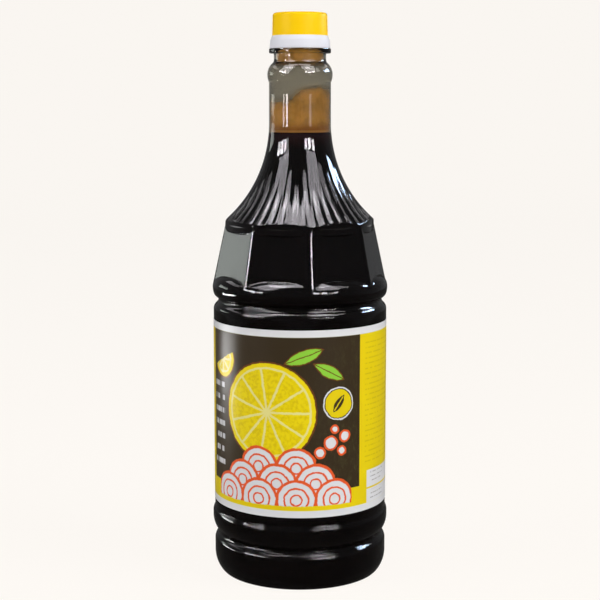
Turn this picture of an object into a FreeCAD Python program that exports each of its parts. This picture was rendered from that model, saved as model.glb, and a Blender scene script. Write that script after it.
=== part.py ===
"""A 1.8 litre sauce bottle: clear round bottle with a faceted shoulder and a fluted trumpet neck,
the dark sauce in it, its wrap label, the collar on its mouth and the closed cap.

Frame: +Z up, origin at the middle of the ring it stands on, the front of the label faces -Y.
Every size is a cell of the sheet Sizes, in millimetres (the counts are plain numbers).
"""
import FreeCAD, Part
import math
import os
import Sketcher

SIZES = [
    # the standing ring, the heel and the foot
    ("stand_radius", 48.8, "heel curve carried down to the floor"),
    ("stand_width", 4.5, "width of the ring inside it, rounding and all"),
    ("heel_rounding", 2.5, "rounding between that ring and the heel"),
    ("dome_height", 7.0, "how far the middle of the base is pushed up"),
    ("base_wall", 1.2, "thickness of the base"),
    ("heel_height", 11.5, "height at which the heel reaches the foot's wall"),
    ("foot_proud", 0.1, "foot wall outside the panel radius"),
    ("foot_height", 21.8, "height of the foot's upper edge"),
    # the waist groove between the foot and the lower band
    ("groove_step", 2.4, "height of the steep side of the lower groove"),
    ("lower_groove_depth", 2.8, "bottom of the lower groove inside the panel radius"),
    ("lower_band_proud", 1.2, "lower band outside the panel radius"),
    ("lower_band_rise", 9.6, "lower groove's bottom to the crest of the lower band"),
    ("lower_band_fall", 7.7, "crest of the lower band to the label panel"),
    # the label panel
    ("panel_radius", 52.3, "straight wall that carries the label"),
    ("panel_height", 119.0, "height of that wall"),
    # the upper groove and band
    ("upper_groove_slope", 6.9, "height of the gentle side of the upper groove"),
    ("upper_groove_depth", 3.0, "bottom of the upper groove inside the panel radius"),
    ("upper_edge_inset", 0.4, "lower edge of the upper band inside the panel radius"),
    ("upper_groove_step", 2.9, "height of the steep side of the upper groove"),
    ("upper_band_proud", 0.5, "upper band outside the panel radius"),
    ("upper_band_rise", 5.9, "lower edge of the upper band to its crest"),
    ("ledge_height", 6.6, "rounded ledge from the band's crest up to the flats"),
    ("groove_rounding", 1.0, "rounding in and beside both grooves"),
    # the shoulder's flats
    ("facet_count", 8, "flats round the shoulder"),
    ("facet_inset", 0.1, "lower corners of the flats inside the upper band"),
    ("facet_start", 1.0, "crest of the upper band to the buried foot of the flats"),
    ("facet_height", 35.3, "height of the tapered flats"),
    ("facet_top_inset", 0.05, "upper corners of the flats inside the rim"),
    ("facet_cover", 1.2, "how deep the round core lies behind the flats"),
    # the rim between the flats and the flutes
    ("rim_radius", 45.1, "round rim above the flats"),
    ("rim_drop", 4.3, "top of the flats down to the start of the rim's rounded underside"),
    ("rim_under", 3.3, "height of that rounded underside"),
    ("rim_wall", 1.8, "height of the rim's upright wall"),
    ("rim_round", 3.5, "rounding of the rim into the trumpet"),
    ("rim_bite", 0.1, "how far that rounding cuts into the lands between the flutes"),
    # the fluted trumpet
    ("flare_radius", 77.0, "hollow curve of the trumpet, seen from the side"),
    ("flute_count", 48, "flutes round the trumpet"),
    ("flute_share", 0.85, "share of the pitch that is hollow, the rest is the land between"),
    ("flute_depth", 2.0, "depth of a flute at the foot of the rim's wall, measured level"),
    ("flute_height", 50.0, "height over which the flutes fade out"),
    # the neck
    ("neck_radius", 18.45, "straight neck"),
    ("neck_height", 23.5, "height of the straight neck"),
    ("bulge_proud", 0.95, "bead at the top of the neck, outside the neck"),
    ("bulge_rise", 4.6, "end of the straight neck to the crest of the bead"),
    ("throat_radius", 15.5, "narrow throat under the flange"),
    ("bulge_fall", 7.3, "crest of the bead to the throat"),
    ("throat_height", 5.3, "height of the throat"),
    ("flange_radius", 18.35, "flange that carries the collar"),
    ("flange_height", 2.7, "thickness of the flange"),
    ("flange_rounding", 0.6, "rounding of the flange's edges"),
    ("finish_radius", 14.0, "mouth inside the collar and the cap"),
    ("finish_height", 16.0, "height of the mouth above the flange"),
    ("bore_radius", 12.4, "bore of the mouth and the throat"),
    ("wall", 0.6, "thickness of the blown wall"),
    # the sauce
    ("fill_drop", 6.5, "foot of the straight neck down to the sauce's surface"),
    # the label
    ("label_thickness", 0.15, "thickness of the wrap label"),
    ("label_start", 3.7, "foot of the panel to the label's lower edge"),
    ("label_end", 4.9, "label's upper edge to the top of the panel"),
    # the collar and the cap
    ("collar_radius", 18.05, "lower edge of the collar"),
    ("collar_taper", 0.45, "how much the collar's wall leans in"),
    ("collar_wall_height", 5.0, "height of the collar's wall"),
    ("collar_height", 7.5, "whole height of the collar"),
    ("collar_fit", 0.15, "gap between the collar's bore and the mouth"),
    ("cap_radius", 16.45, "lower edge of the cap"),
    ("cap_taper", 0.3, "how much the cap's wall leans in"),
    ("cap_height", 13.3, "height of the cap"),
    ("cap_wall", 1.2, "thickness of the cap's wall"),
    ("cap_top", 1.5, "thickness of the cap's top"),
    ("cap_rounding", 2.0, "rounding of the cap's top edge"),
]

doc = FreeCAD.newDocument("SauceBottle")
sheet = doc.addObject("Spreadsheet::Sheet", "Sizes")
for row, (name, value, note) in enumerate(SIZES, start=1):
    sheet.set(f"A{row}", name)
    sheet.set(f"B{row}", str(value))
    sheet.set(f"C{row}", note)
    sheet.setAlias(f"B{row}", name)
doc.recompute()


def total(*terms):
    """The expression that adds sheet cells; a term that isn't a cell's name is used as it stands."""
    names = {name for name, value, note in SIZES}
    return " + ".join(f"Sizes.{term}" if term in names else f"({term})" for term in terms)


def less(first, *terms):
    """The expression of the first term less all the others."""
    return f"{total(first)} - ({total(*terms)})"


def number(expression):
    """The value of an expression on the sheet, as a plain number."""
    return float(sheet.evalExpression(expression))


# heights, each stacked on the one below
FOOT_TOP = total("foot_height")
LOWER_GROOVE = total(FOOT_TOP, "groove_step")
LOWER_BAND = total(LOWER_GROOVE, "lower_band_rise")
PANEL_FOOT = total(LOWER_BAND, "lower_band_fall")
PANEL_TOP = total(PANEL_FOOT, "panel_height")
UPPER_GROOVE = total(PANEL_TOP, "upper_groove_slope")
UPPER_EDGE = total(UPPER_GROOVE, "upper_groove_step")
UPPER_BAND = total(UPPER_EDGE, "upper_band_rise")
LEDGE_TOP = total(UPPER_BAND, "ledge_height")
FACET_FOOT = total(UPPER_BAND, "facet_start")
FACET_TOP = total(FACET_FOOT, "facet_height")
RIM_UNDERSIDE = less(FACET_TOP, "rim_drop")
RIM_LOW = total(RIM_UNDERSIDE, "rim_under")
RIM_TOP = total(RIM_LOW, "rim_wall")
# the rim's round and the trumpet's hollow curve touch, but for the bite, on the line between
# their centres, which sets how far above the rim the neck begins
CENTRE_GAP = "(Sizes.flare_radius + Sizes.rim_round - Sizes.rim_bite)"
CENTRE_REACH = "(Sizes.neck_radius + Sizes.flare_radius + Sizes.rim_round - Sizes.rim_radius)"
FLARE_HEIGHT = f"sqrt({CENTRE_GAP} * {CENTRE_GAP} - {CENTRE_REACH} * {CENTRE_REACH})"
ROUND_TOP = f"{RIM_TOP} + Sizes.rim_round * {FLARE_HEIGHT} / {CENTRE_GAP}"
ROUND_TOP_RADIUS = f"Sizes.rim_radius - Sizes.rim_round * (1 - {CENTRE_REACH} / {CENTRE_GAP})"
NECK_FOOT = total(RIM_TOP, FLARE_HEIGHT)
FLUTE_TOP = total(RIM_LOW, "flute_height")
NECK_TOP = total(NECK_FOOT, "neck_height")
BULGE_CREST = total(NECK_TOP, "bulge_rise")
THROAT_FOOT = total(BULGE_CREST, "bulge_fall")
FLANGE_FOOT = total(THROAT_FOOT, "throat_height")
FLANGE_TOP = total(FLANGE_FOOT, "flange_height")
MOUTH = total(FLANGE_TOP, "finish_height")
COLLAR_TOP = total(FLANGE_TOP, "collar_height")
CAP_TOP = total(COLLAR_TOP, "cap_height")

# radii worked out from the driving ones
FOOT = total("panel_radius", "foot_proud")
LOWER_GROOVE_RADIUS = less("panel_radius", "lower_groove_depth")
LOWER_BAND_RADIUS = total("panel_radius", "lower_band_proud")
UPPER_GROOVE_RADIUS = less("panel_radius", "upper_groove_depth")
UPPER_EDGE_RADIUS = less("panel_radius", "upper_edge_inset")
UPPER_BAND_RADIUS = total("panel_radius", "upper_band_proud")
FACET_FOOT_RADIUS = less(UPPER_BAND_RADIUS, "facet_inset")
FACET_TOP_RADIUS = less("rim_radius", "facet_top_inset")
FLAT_SHARE = "cos(180 deg / Sizes.facet_count)"
CORE_FOOT_RADIUS = f"({FACET_FOOT_RADIUS}) * {FLAT_SHARE} - Sizes.facet_cover"
CORE_TOP_RADIUS = f"({FACET_TOP_RADIUS}) * {FLAT_SHARE} - Sizes.facet_cover"
BULGE_RADIUS = total("neck_radius", "bulge_proud")
STAND_INNER = less("stand_radius", "stand_width")


def flare(height):
    """The expression of the trumpet's radius at a height: a hollow arc that ends upright at the neck."""
    drop = f"({NECK_FOOT} - ({height}))"
    arc = f"sqrt(Sizes.flare_radius * Sizes.flare_radius - {drop} * {drop})"
    return f"Sizes.neck_radius + Sizes.flare_radius - {arc}"


def inside(radius):
    """The expression of a radius one wall further in."""
    return less(radius, "wall")


def origin_plane(body, role):
    """One of a body's own origin planes."""
    return next(item for item in body.Origin.OriginFeatures if item.Role == role)


def placed_arc(sketch, start, end, upright):
    """Adds an arc between two points that stands upright (or level) where upright says."""
    tip, other = (start, end) if upright.endswith("start") else (end, start)
    across, along = other.x - tip.x, other.y - tip.y
    reach = across * across + along * along
    if upright.startswith("level"):
        centre = FreeCAD.Vector(tip.x, tip.y + reach / (2 * along), 0)
    else:
        centre = FreeCAD.Vector(tip.x + reach / (2 * across), tip.y, 0)
    radius = centre.distanceToPoint(tip)
    middle = (start + end) * 0.5 - centre
    middle.normalize()
    arc = Part.Arc(start, centre + middle * radius, end)
    return sketch.addGeometry(arc, False)


def outline(body, name, corners):
    """A closed half-outline on a body's XZ plane. Each corner is (radius, height, how the outline goes on):
    "line", or an arc that is upright or level at its start or its end."""
    sketch = body.newObject("Sketcher::SketchObject", name)
    sketch.AttachmentSupport = [(origin_plane(body, "XZ_Plane"), "")]
    sketch.MapMode = "FlatFace"
    points = [FreeCAD.Vector(number(x), number(y), 0) for x, y, way in corners]
    ends = []
    for index, (x, y, way) in enumerate(corners):
        start = points[index]
        end = points[(index + 1) % len(points)]
        if way == "line":
            edge = sketch.addGeometry(Part.LineSegment(start, end), False)
        else:
            edge = placed_arc(sketch, start, end, way)
        first = 1 if sketch.getPoint(edge, 1).distanceToPoint(start) < 1e-6 else 2
        ends.append((edge, first, 3 - first))
    for index, (x, y, way) in enumerate(corners):
        edge, first, last = ends[index]
        before, _, before_last = ends[index - 1]
        sketch.addConstraint(Sketcher.Constraint("Coincident", before, before_last, edge, first))
        for kind, expression, value in (("DistanceX", x, points[index].x), ("DistanceY", y, points[index].y)):
            if abs(value) < 1e-9:
                axis = -2 if kind == "DistanceX" else -1
                sketch.addConstraint(Sketcher.Constraint("PointOnObject", edge, first, axis))
                continue
            held = sketch.addConstraint(Sketcher.Constraint(kind, -1, 1, edge, first, value))
            sketch.setExpression(f"Constraints[{held}]", expression)
        if way != "line":
            tip = first if way.endswith("start") else last
            rule = "Vertical" if way.startswith("level") else "Horizontal"
            sketch.addConstraint(Sketcher.Constraint(rule, edge, 3, edge, tip))
    return sketch


def turned(label, corners):
    """A body turned from a half-outline about the upright axis."""
    body = doc.addObject("PartDesign::Body", label)
    body.Label = label
    sketch = outline(body, label + "_outline", corners)
    turn = body.newObject("PartDesign::Revolution", label + "_turn")
    turn.Profile = sketch
    turn.ReferenceAxis = (sketch, ["V_Axis"])
    turn.Angle = 360
    body.Tip = turn
    doc.recompute()
    return body


def rounded(body, corners, size):
    """Rounds the circular edges of a turned body that lie at the given (radius, height) corners."""
    solid = body.Tip.Shape
    names = []
    for radius, height in corners:
        for index, edge in enumerate(solid.Edges, start=1):
            if edge.Degenerated or not isinstance(edge.Curve, Part.Circle):
                continue
            circle = edge.Curve
            off = abs(circle.Radius - number(radius)) + abs(circle.Center.z - number(height))
            if off < 1e-4:
                names.append(f"Edge{index}")
    if len(names) != len(corners):
        raise RuntimeError(f"{body.Label}: found {len(names)} of {len(corners)} edges to round")
    base = body.Tip
    fillet = body.newObject("PartDesign::Fillet", body.Label + "_rounding")
    fillet.Base = (base, names)
    fillet.setExpression("Radius", f"Sizes.{size}")
    body.Tip = fillet
    doc.recompute()
    return fillet


def taper(label, foot_radius, top_radius):
    """The solid of the shoulder's flats: a tapered prism whose corners lie at the given radii."""
    rings = []
    for end, radius, height in (("foot", foot_radius, FACET_FOOT), ("top", top_radius, FACET_TOP)):
        ring = doc.addObject("Part::RegularPolygon", f"{label}_{end}")
        ring.setExpression("Polygon", "Sizes.facet_count")
        ring.setExpression("Circumradius", radius)
        ring.setExpression("Placement.Base.z", height)
        ring.setExpression("Placement.Rotation.Angle", "180 deg / Sizes.facet_count")
        rings.append(ring)
    prism = doc.addObject("Part::Loft", label)
    prism.Sections = rings
    prism.Solid = True
    prism.Ruled = True
    return prism


def fluted_wire(height, radius, depth, count, share):
    """One level section of the trumpet: hollow arcs with narrow lands on the circle between them."""
    pitch = 2 * math.pi / count
    half = pitch * share / 2

    def at(distance, angle):
        return FreeCAD.Vector(distance * math.cos(angle), distance * math.sin(angle), height)

    edges = []
    for flute in range(count):
        middle = flute * pitch
        land = middle + pitch / 2
        edges.append(Part.Arc(at(radius, middle - half), at(radius - depth, middle), at(radius, middle + half)))
        edges.append(Part.Arc(at(radius, middle + half), at(radius, land), at(radius, middle + pitch - half)))
    return Part.Wire([edge.toShape() for edge in edges])


def fluted_trumpet():
    """The flared core whose flutes deepen downwards. It is lofted through level sections because
    the flutes fade out as they rise, which no pattern of one cut gives."""
    count = round(number("Sizes.flute_count"))
    share = number("Sizes.flute_share")
    low = number(RIM_LOW)
    top = number(FLUTE_TOP)
    section_count = 8
    wires = []
    for section in range(section_count):
        rise = section / (section_count - 1)
        height = low + (top - low) * rise
        depth = number("Sizes.flute_depth") * (1 - rise) ** 2
        wires.append(fluted_wire(height, number(flare(str(height))), depth, count, share))
    core = doc.addObject("Part::Feature", "FlutedCore")
    core.Shape = Part.makeLoft(wires, True, False)
    core.Placement = FreeCAD.Placement()
    return core


def bottle_outside():
    """Everything inside the bottle's outer surface, from the standing ring to the mouth."""
    lower = turned("LowerForm", [
        ("0", total("dome_height"), "level start"),
        (STAND_INNER, "0", "line"),
        (total("stand_radius"), "0", "upright end"),
        (FOOT, total("heel_height"), "line"),
        (FOOT, FOOT_TOP, "line"),
        (LOWER_GROOVE_RADIUS, LOWER_GROOVE, "upright end"),
        (LOWER_BAND_RADIUS, LOWER_BAND, "upright start"),
        (total("panel_radius"), PANEL_FOOT, "line"),
        (total("panel_radius"), PANEL_TOP, "line"),
        (UPPER_GROOVE_RADIUS, UPPER_GROOVE, "line"),
        (UPPER_EDGE_RADIUS, UPPER_EDGE, "upright end"),
        (UPPER_BAND_RADIUS, UPPER_BAND, "upright start"),
        (CORE_FOOT_RADIUS, LEDGE_TOP, "line"),
        (CORE_TOP_RADIUS, RIM_UNDERSIDE, "upright end"),
        (total("rim_radius"), RIM_LOW, "line"),
        ("0", RIM_LOW, "line"),
    ])
    rounded(lower, [
        (FOOT, FOOT_TOP),
        (LOWER_GROOVE_RADIUS, LOWER_GROOVE),
        (UPPER_GROOVE_RADIUS, UPPER_GROOVE),
        (UPPER_EDGE_RADIUS, UPPER_EDGE),
    ], "groove_rounding")
    rounded(lower, [(total("stand_radius"), "0")], "heel_rounding")
    # the blank that the fluted core is cut down to: its lower edge is the round rim
    beyond = total("rim_radius", "rim_round")
    above = total(FLUTE_TOP, "rim_round")
    blank = turned("RimBlank", [
        ("0", RIM_LOW, "line"),
        (total("rim_radius"), RIM_LOW, "line"),
        (total("rim_radius"), RIM_TOP, "upright start"),
        (ROUND_TOP_RADIUS, ROUND_TOP, "line"),
        (beyond, ROUND_TOP, "line"),
        (beyond, above, "line"),
        ("0", above, "line"),
    ])
    trumpet = doc.addObject("Part::Common", "Trumpet")
    trumpet.Base = fluted_trumpet()
    trumpet.Tool = blank
    neck = turned("NeckForm", [
        ("0", FLUTE_TOP, "line"),
        (flare(FLUTE_TOP), FLUTE_TOP, "upright end"),
        (total("neck_radius"), NECK_FOOT, "line"),
        (total("neck_radius"), NECK_TOP, "upright end"),
        (BULGE_RADIUS, BULGE_CREST, "upright start"),
        (total("throat_radius"), THROAT_FOOT, "line"),
        (total("throat_radius"), FLANGE_FOOT, "line"),
        (total("flange_radius"), FLANGE_FOOT, "line"),
        (total("flange_radius"), FLANGE_TOP, "line"),
        (total("finish_radius"), FLANGE_TOP, "line"),
        (total("finish_radius"), MOUTH, "line"),
        ("0", MOUTH, "line"),
    ])
    rounded(neck, [
        (total("flange_radius"), FLANGE_FOOT),
        (total("flange_radius"), FLANGE_TOP),
    ], "flange_rounding")
    flats = taper("ShoulderFlats", FACET_FOOT_RADIUS, FACET_TOP_RADIUS)
    outside = doc.addObject("Part::MultiFuse", "BottleOutside")
    outside.Shapes = [lower, trumpet, neck, flats]
    return outside


def bottle_inside():
    """The space inside the wall, up through the bore of the mouth."""
    over_mouth = total(MOUTH, "wall")
    core = turned("InnerForm", [
        ("0", total("dome_height", "base_wall"), "level start"),
        (STAND_INNER, total("base_wall"), "line"),
        (less("stand_radius", "wall"), total("base_wall"), "upright end"),
        (inside(FOOT), total("heel_height"), "line"),
        (inside(FOOT), FOOT_TOP, "line"),
        (inside(LOWER_GROOVE_RADIUS), LOWER_GROOVE, "upright end"),
        (inside(LOWER_BAND_RADIUS), LOWER_BAND, "upright start"),
        (inside("panel_radius"), PANEL_FOOT, "line"),
        (inside("panel_radius"), PANEL_TOP, "line"),
        (inside(UPPER_GROOVE_RADIUS), UPPER_GROOVE, "line"),
        (inside(UPPER_EDGE_RADIUS), UPPER_EDGE, "upright end"),
        (inside(UPPER_BAND_RADIUS), UPPER_BAND, "upright start"),
        (inside(CORE_FOOT_RADIUS), LEDGE_TOP, "line"),
        (inside(CORE_TOP_RADIUS), RIM_UNDERSIDE, "upright end"),
        (inside("rim_radius"), RIM_LOW, "upright end"),
        (inside("neck_radius"), NECK_FOOT, "line"),
        (inside("neck_radius"), NECK_TOP, "upright end"),
        (inside(BULGE_RADIUS), BULGE_CREST, "upright start"),
        (total("bore_radius"), less(THROAT_FOOT, "wall"), "line"),
        (total("bore_radius"), over_mouth, "line"),
        ("0", over_mouth, "line"),
    ])
    flats = taper("InnerFlats", inside(FACET_FOOT_RADIUS), inside(FACET_TOP_RADIUS))
    space = doc.addObject("Part::Fuse", "BottleInside")
    space.Base = core
    space.Tool = flats
    return space


def bottle(outside, inside_space):
    """The clear bottle itself, one hollow piece open at its mouth."""
    piece = doc.addObject("Part::Cut", "bottle")
    piece.Label = "bottle"
    piece.Base = outside
    piece.Tool = inside_space
    return piece


def sauce(inside_space):
    """The sauce, which fills the inside up to its level."""
    block = doc.addObject("Part::Cylinder", "FillBlock")
    block.setExpression("Radius", "2 * Sizes.panel_radius")
    block.setExpression("Height", less(NECK_FOOT, "fill_drop"))
    piece = doc.addObject("Part::Common", "sauce")
    piece.Label = "sauce"
    piece.Base = inside_space
    piece.Tool = block
    return piece


def label():
    """The wrap label, a thin sleeve on the straight panel."""
    outer_radius = total("panel_radius", "label_thickness")
    foot = total(PANEL_FOOT, "label_start")
    top = less(PANEL_TOP, "label_end")
    return turned("label", [
        (total("panel_radius"), foot, "line"),
        (outer_radius, foot, "line"),
        (outer_radius, top, "line"),
        (total("panel_radius"), top, "line"),
    ])


def collar():
    """The white collar, which sits on the flange round the mouth and slopes in to the cap."""
    bore = total("finish_radius", "collar_fit")
    edge = total(FLANGE_TOP, "collar_wall_height")
    return turned("collar", [
        (bore, FLANGE_TOP, "line"),
        (total("collar_radius"), FLANGE_TOP, "line"),
        (less("collar_radius", "collar_taper"), edge, "line"),
        (total("cap_radius"), COLLAR_TOP, "line"),
        (bore, COLLAR_TOP, "line"),
    ])


def cap():
    """The yellow cap, a cup that stands on the collar over the mouth."""
    top_radius = less("cap_radius", "cap_taper")
    ceiling = less(CAP_TOP, "cap_top")
    piece = turned("cap", [
        (less("cap_radius", "cap_wall"), COLLAR_TOP, "line"),
        (total("cap_radius"), COLLAR_TOP, "line"),
        (top_radius, CAP_TOP, "line"),
        ("0", CAP_TOP, "line"),
        ("0", ceiling, "line"),
        (less(top_radius, "cap_wall"), ceiling, "line"),
    ])
    rounded(piece, [(top_radius, CAP_TOP)], "cap_rounding")
    return piece


def checked(items):
    """Stops the build if any object failed or a sub-part isn't one sound solid."""
    doc.recompute()
    for item in doc.Objects:
        if "Invalid" in item.State or "Error" in item.State:
            raise RuntimeError(f"{item.Label} failed: {item.State}")
    for item in items:
        if item.Shape.isNull() or not item.Shape.isValid() or len(item.Shape.Solids) != 1:
            raise RuntimeError(f"{item.Label} isn't one sound solid")


inside_space = bottle_inside()
pieces = [bottle(bottle_outside(), inside_space), sauce(inside_space), label(), collar(), cap()]
checked(pieces)

os.makedirs("parts", exist_ok=True)
for piece in pieces:
    piece.Shape.exportStep(os.path.join("parts", piece.Label + ".step"))
    print(f"{piece.Label}: {piece.Shape.Volume / 1000:.2f} cm3")
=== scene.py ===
"""The looks of a 1.8 litre sauce bottle: a clear faceted and fluted bottle, the dark sauce in it and
the film it leaves in the neck, a printed wrap label, a collar and a cap, on a plain pale stage."""

import bpy
import math
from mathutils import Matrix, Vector


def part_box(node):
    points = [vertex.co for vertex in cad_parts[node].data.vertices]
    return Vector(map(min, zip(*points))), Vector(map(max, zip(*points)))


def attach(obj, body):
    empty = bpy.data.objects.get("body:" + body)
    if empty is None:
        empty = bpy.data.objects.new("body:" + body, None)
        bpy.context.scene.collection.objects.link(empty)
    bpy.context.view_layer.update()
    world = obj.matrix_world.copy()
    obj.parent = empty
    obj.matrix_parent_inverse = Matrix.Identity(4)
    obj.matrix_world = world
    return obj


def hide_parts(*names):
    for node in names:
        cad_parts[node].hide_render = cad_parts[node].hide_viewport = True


bl_info = {
    "name": "Sauce Bottle",
    "version": (1, 0, 0),
    "blender": (4, 5, 0),
    "location": "3D View > Sidebar > Sauce Bottle",
    "description": "Builds a clear bottle of dark sauce with its label, collar and cap",
    "category": "Object",
}

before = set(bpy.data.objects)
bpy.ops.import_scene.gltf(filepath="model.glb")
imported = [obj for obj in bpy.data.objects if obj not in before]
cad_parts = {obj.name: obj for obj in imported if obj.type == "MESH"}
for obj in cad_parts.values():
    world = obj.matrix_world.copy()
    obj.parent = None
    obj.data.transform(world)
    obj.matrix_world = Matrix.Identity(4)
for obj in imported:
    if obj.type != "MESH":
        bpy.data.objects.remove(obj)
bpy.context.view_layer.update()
MM = 0.001
FINE = 1e-5  # a radius below this lies on the axis

# the base and the rim
DOME = 7.0 * MM  # height of the pushed-up base
HEEL = 11.5 * MM  # height at which the heel meets the foot
RIM_RISE = 0.8 * MM  # the rim's straight part above the flats
RIM_BEAD = 3.4 * MM  # rounding under the rim
CORE_DEPTH = 1.2 * MM  # how far the round core stays behind the flats
FLAT_INSET = 0.1 * MM  # the flats' foot, inside the band's crest
RIM_INSET = 0.05 * MM  # the flats' top, inside the rim

# the neck and the finish
NECK_TALL = 23.5 * MM
BEAD_RISE = 4.6 * MM  # from the bead's foot to its crest
THROAT_RISE = 7.3 * MM  # from the bead's crest to the throat
FLANGE_TALL = 2.7 * MM
FINISH = 14.0 * MM  # outer radius inside the collar
MOUTH = 12.4 * MM  # radius of the mouth's bore
BORE_FLARE = 83.6 * MM  # hollow curve of the trumpet's inner side

# the flutes and the flats
COLUMNS = 8.0  # mesh columns to a flute
FLUTE_FADE = 2.4  # how fast a flute fades towards the neck
FLUTE_SHARE = 0.88  # share of the pitch that a flute takes
FLAT_BLEND = 0.9 * MM  # rounding where the flats meet the round core
RIM_LEAN = 0.45  # how far the rim follows the flats
RIM_REACH = 4.2 * MM  # how far under the flats' top the rim begins to follow them

# the label's print, in millimetres
BORDER = 4.1  # white edge above and below
GROUND_FOOT = 15.6  # foot of the dark panel
WAVE = 23.0  # from one round wave to the next
SOFT_EDGE = 0.15  # half the width over which an edge fades


def box_top(node):
    """Height of a CAD node's highest point."""
    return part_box(node)[1].z


def box_foot(node):
    """Height of a CAD node's lowest point."""
    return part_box(node)[0].z


def box_radius(node):
    """Half the width of a round CAD node."""
    low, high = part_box(node)
    return (high.x - low.x) / 2


# ------------------------------------------------------------------ what a user would change


def length(name, text, value):
    """A size property, in metres."""
    return bpy.props.FloatProperty(name=name, description=text, default=value, unit="LENGTH",
                                   subtype="DISTANCE")


def colour(name, text, value):
    """A colour property, in linear light."""
    return bpy.props.FloatVectorProperty(name=name, description=text, default=value, size=3,
                                         subtype="COLOR", min=0.0, max=1.0)


def bearing(name, text, degrees):
    """An angle property, given in degrees."""
    return bpy.props.FloatProperty(name=name, description=text, default=math.radians(degrees),
                                   subtype="ANGLE", unit="ROTATION")


class BottleShape(bpy.types.PropertyGroup):
    """Sizes of the blown bottle."""
    stand: length("Stand", "Outer radius of the flat ring the bottle stands on", 0.0469)
    foot: length("Foot", "Radius of the foot", 0.0524)
    foot_top: length("Foot top", "Height of the foot's upper edge", 0.0218)
    low_groove: length("Lower groove", "Radius at the bottom of the lower groove", 0.0495)
    low_band: length("Lower band", "Radius at the crest of the lower band", 0.05345)
    panel: length("Panel", "Radius of the straight label panel", 0.0523)
    panel_foot: length("Panel foot", "Height at which the panel begins", 0.0415)
    panel_top: length("Panel top", "Height at which the panel ends", 0.1605)
    high_groove: length("Upper groove", "Radius at the bottom of the upper groove", 0.0493)
    high_band: length("Upper band", "Radius at the crest of the upper band", 0.0528)
    band_crest: length("Band crest", "Height of the upper band's crest", 0.1762)
    flat_top: length("Flats' top", "Height at which the flats end under the rim", 0.2125)
    flats: bpy.props.IntProperty(name="Flats", description="Flats round the shoulder", default=8)
    rim: length("Rim", "Radius of the rim above the flats", 0.0451)
    rim_round: length("Rim rounding", "Rounding of the rim into the trumpet", 0.0035)
    flare: length("Flare", "Hollow curve of the trumpet seen from the side", 0.077)
    flutes: bpy.props.IntProperty(name="Flutes", description="Flutes round the trumpet", default=48)
    flute_depth: length("Flute depth", "Depth of a flute at the rim", 0.0009)
    flute_height: length("Flute height", "Height over which the flutes fade out", 0.050)
    neck: length("Neck", "Radius of the straight neck", 0.01845)
    bead: length("Bead", "Radius of the bead at the top of the neck", 0.0194)
    throat: length("Throat", "Radius of the throat under the flange", 0.0155)
    flange: length("Flange", "Radius of the flange that carries the collar", 0.01835)
    wall: length("Wall", "Thickness of the blown wall in the neck", 0.0006)
    tint: colour("Plastic", "Tint of the clear plastic", (0.70, 0.68, 0.60))


class SauceLook(bpy.types.PropertyGroup):
    """The sauce and what it leaves on the neck."""
    reach: length("Reach", "How deep the sauce reaches into the wall from inside", 0.0003)
    dark: colour("Sauce", "Colour of the sauce in bulk", (0.0030, 0.0022, 0.0022))
    # painted glow: this redder colour is drawn over the sauce's top centimetre and stands in for light
    # shining into the sauce there
    edge: colour("Thin sauce", "Colour of the sauce where it is thin", (0.020, 0.008, 0.009))
    film: colour("Film", "Colour of the film that the sauce leaves in the neck", (0.68, 0.335, 0.05))
    haze: colour("Haze", "Colour of the thinnest film, higher in the neck", (0.13, 0.11, 0.07))


class LabelPrint(bpy.types.PropertyGroup):
    """The wrap label and its inks."""
    paper: colour("White", "Bare white of the label", (0.70, 0.70, 0.72))
    ground: colour("Dark ground", "Ink of the dark panel", (0.042, 0.028, 0.013))
    yellow: colour("Yellow", "Ink of the side panels and the fruit", (0.81, 0.64, 0.003))
    shade: colour("Yellow shade", "Darker yellow", (0.70, 0.52, 0.003))
    pith: colour("Pith", "Pale ring of the cut fruit", (0.78, 0.70, 0.25))
    brown: colour("Brown", "Ink of the drawn lines", (0.14, 0.045, 0.010))
    green: colour("Green", "Ink of the leaves", (0.26, 0.58, 0.045))
    orange: colour("Orange", "Ink round the waves and the spray", (0.75, 0.10, 0.020))


class ClosureLook(bpy.types.PropertyGroup):
    """The collar and the cap."""
    cap: colour("Cap", "Colour of the cap", (0.95, 0.59, 0.002))
    collar: colour("Collar", "Colour of the collar", (0.72, 0.72, 0.78))
    cap_edge: length("Cap edge", "Rounding of the cap's top edge", 0.002)


class StudioSet(bpy.types.PropertyGroup):
    """The stage, the lamps and the camera."""
    paper: colour("Backdrop", "Colour of the floor and the backdrop", (0.956, 0.922, 0.880))
    distance: length("Camera distance", "Level distance from the bottle's axis to the camera", 0.85)
    height: length("Camera height", "Height of the camera above the floor", 0.2845)
    side: bearing("Camera side", "How far the camera stands round to the right", 15.0)
    tilt: bearing("Camera tilt", "How far the camera looks down", 7.93)
    lens: bpy.props.FloatProperty(name="Lens", description="Focal length in millimetres", default=84.85)


# ------------------------------------------------------------------ outlines


def arc(start, end, upright, steps):
    """Points after start on an arc to end whose tangent is upright at its "start" or its "end"."""
    tip, other = (start, end) if upright == "start" else (end, start)
    across, along = other[0] - tip[0], other[1] - tip[1]
    centre = tip[0] + (across * across + along * along) / (2 * across)
    radius = abs(centre - tip[0])
    first = math.atan2(start[1] - tip[1], start[0] - centre)
    last = math.atan2(end[1] - tip[1], end[0] - centre)
    turn = (last - first + math.pi) % (2 * math.pi) - math.pi
    angles = (first + turn * i / steps for i in range(1, steps + 1))
    return [(centre + radius * math.cos(angle), tip[1] + radius * math.sin(angle)) for angle in angles]


def line(start, end, steps=1):
    """Points after start on the straight way to end."""
    return [(start[0] + (end[0] - start[0]) * i / steps, start[1] + (end[1] - start[1]) * i / steps)
            for i in range(1, steps + 1)]


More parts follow.
